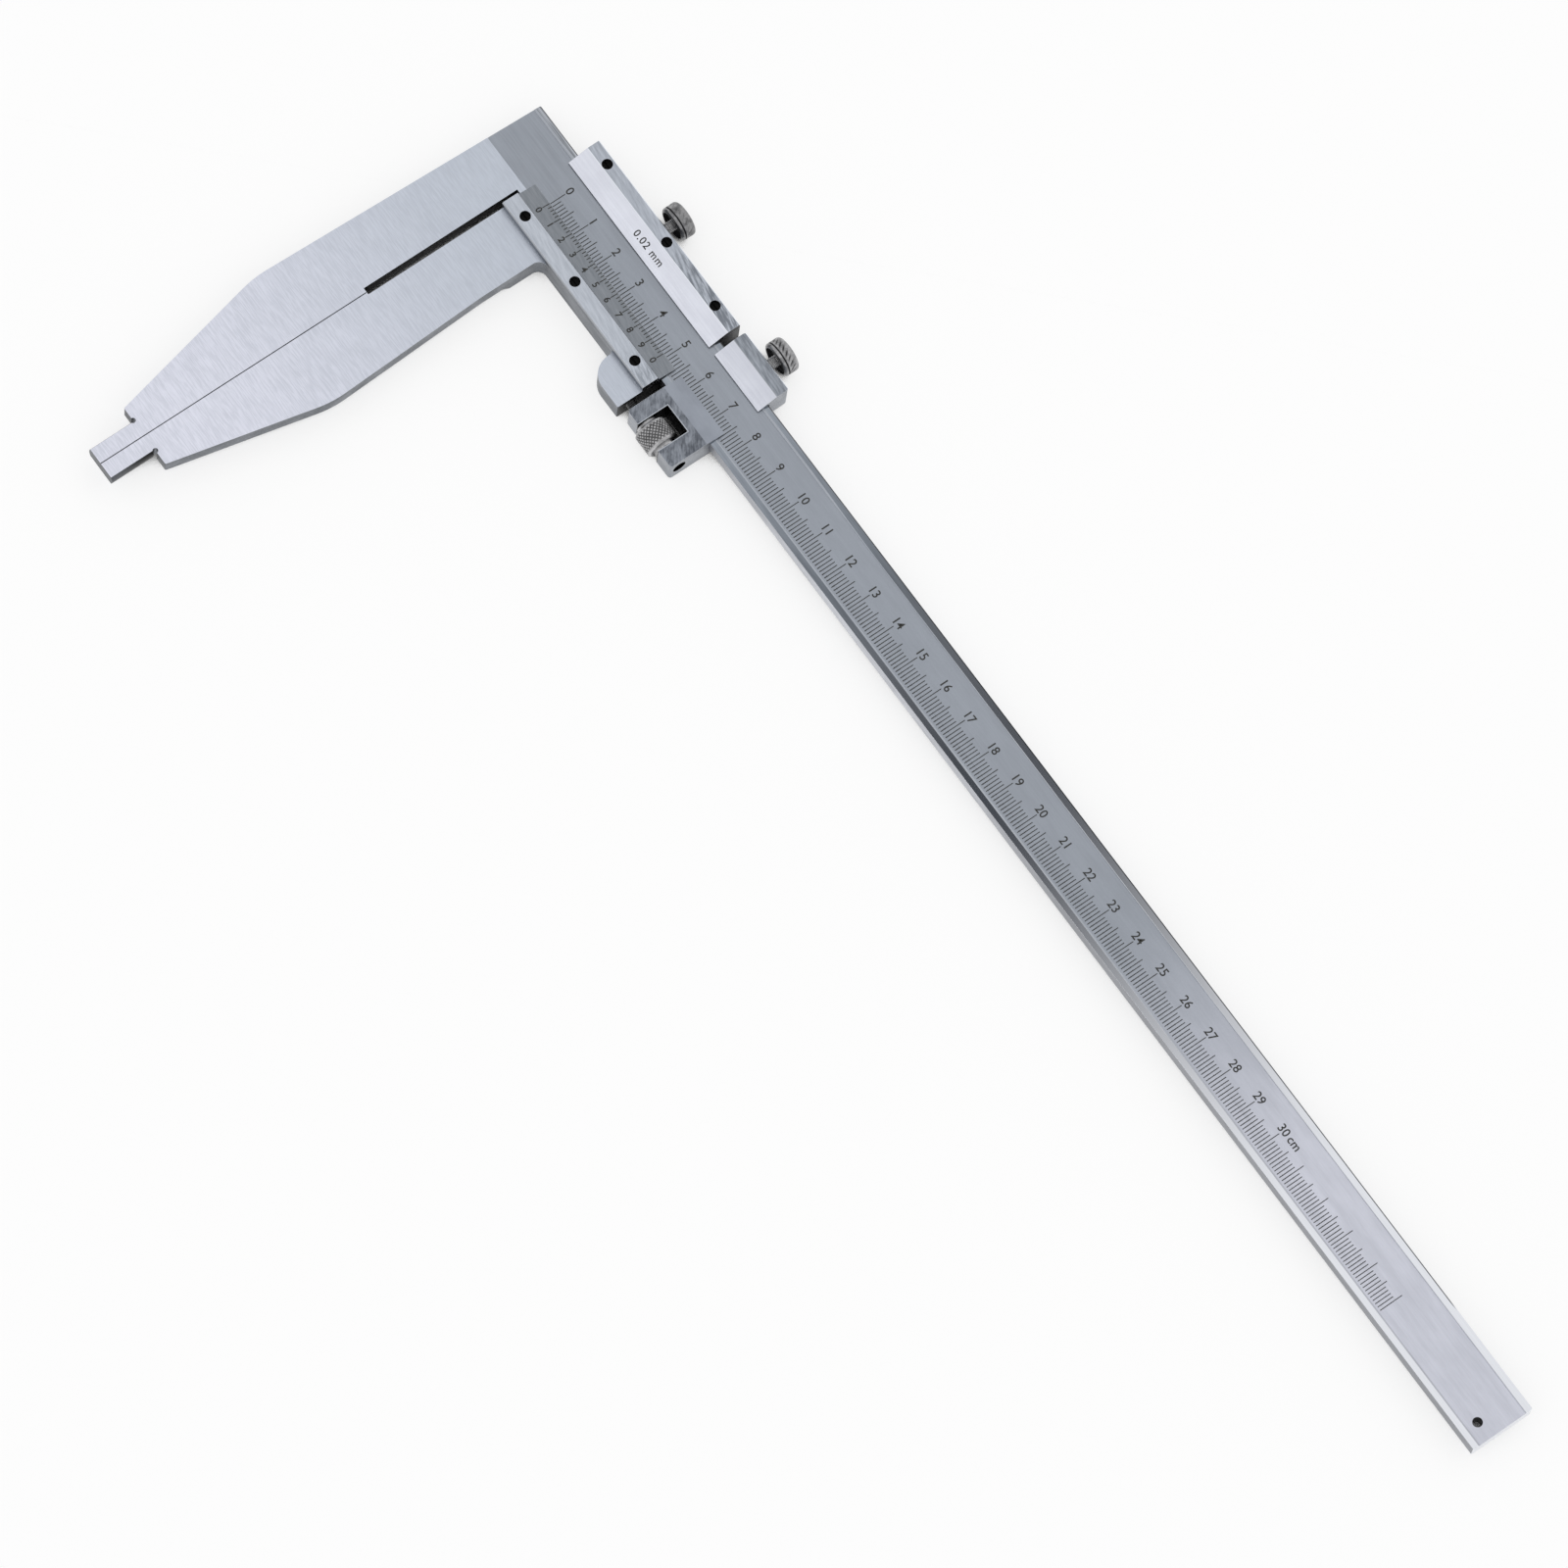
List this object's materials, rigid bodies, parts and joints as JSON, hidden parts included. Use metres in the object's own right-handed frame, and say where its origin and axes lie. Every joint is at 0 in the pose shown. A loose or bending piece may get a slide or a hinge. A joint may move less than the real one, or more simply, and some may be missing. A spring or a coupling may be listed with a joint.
{
  "type": "long jaw vernier caliper",
  "caption": "Vernier caliper with long tapered jaws, stepped inside measuring nibs, a graduated beam, a slider with guide plates, clamp screws and a fine adjustment carriage",
  "frame": {"origin": "on the plane where the jaws meet, at the beam's lower guide edge, on the beam's back face", "axes": "+X along the beam towards its free end, +Y away from the jaw tips, +Z out of the scale face"},
  "size_m": [0.4166, 0.1586, 0.0095],
  "materials": {
    "beam_steel": "satin chromed scale face, brushed jaw",
    "slider_steel": "fine brushed",
    "guide_steel": "ground and satin chromed",
    "satin_chrome": "matt chrome",
    "black_oxide": "black oxide steel",
    "spring_steel": "blued spring steel",
    "shoe_brass": "plain",
    "knurled_steel": "knurled, slightly dulled",
    "thread_steel": "plain"
  },
  "bodies": {
    "beam": {"main_beam": "beam_steel"},
    "slider": {"slider_body": "slider_steel", "upper_guide_plate": "guide_steel", "lower_guide_rail": "guide_steel", "vernier_plate": "satin_chrome", "upper_plate_screws": "black_oxide", "lower_rail_screws": "black_oxide", "slider_leaf_spring": "spring_steel", "fine_adjust_screw": "thread_steel", "fine_screw_pin": "thread_steel"},
    "slider_shoe": {"slider_clamp_shoe": "shoe_brass"},
    "slider_clamp": {"slider_clamp_screw": "knurled_steel"},
    "carriage": {"carriage_body": "slider_steel", "carriage_leaf_spring": "spring_steel"},
    "carriage_shoe": {"carriage_clamp_shoe": "shoe_brass"},
    "carriage_clamp": {"carriage_clamp_screw": "knurled_steel"},
    "nut": {"fine_adjust_nut": "knurled_steel"}
  },
  "joints": [
    {"name": "slider_slide", "type": "slide", "parent": "beam", "child": "slider", "axis": [1, 0, 0], "range_m": [0, 0.3]},
    {"name": "slider_shoe_travel", "type": "slide", "parent": "slider", "child": "slider_shoe", "axis": [0, 1, 0], "range_m": [0, 0.001]},
    {"name": "slider_clamp_turn", "type": "hinge", "parent": "slider_shoe", "child": "slider_clamp", "pos_m": [0.028, 0.023, 0.00215], "axis": [0, 1, 0], "range_deg": [0, 720]},
    {"name": "carriage_travel", "type": "slide", "parent": "slider", "child": "carriage", "axis": [1, 0, 0], "range_m": [-0.0015, 0.005]},
    {"name": "nut_turn", "type": "hinge", "parent": "carriage", "child": "nut", "pos_m": [0.07175, -0.0093, 0.002], "axis": [1, 0, 0], "range_deg": [-1080, 3600]},
    {"name": "carriage_shoe_travel", "type": "slide", "parent": "carriage", "child": "carriage_shoe", "axis": [0, 1, 0], "range_m": [0, 0.001]},
    {"name": "carriage_clamp_turn", "type": "hinge", "parent": "carriage_shoe", "child": "carriage_clamp", "pos_m": [0.07225, 0.023, 0.00215], "axis": [0, 1, 0], "range_deg": [0, 720]}
  ],
  "couplings": [
    {"joint": "slider_clamp_turn", "follows": "slider_shoe_travel", "rad_per_m": 12566},
    {"joint": "nut_turn", "follows": "carriage_travel", "rad_per_m": 12566},
    {"joint": "carriage_clamp_turn", "follows": "carriage_shoe_travel", "rad_per_m": 12566}
  ]
}
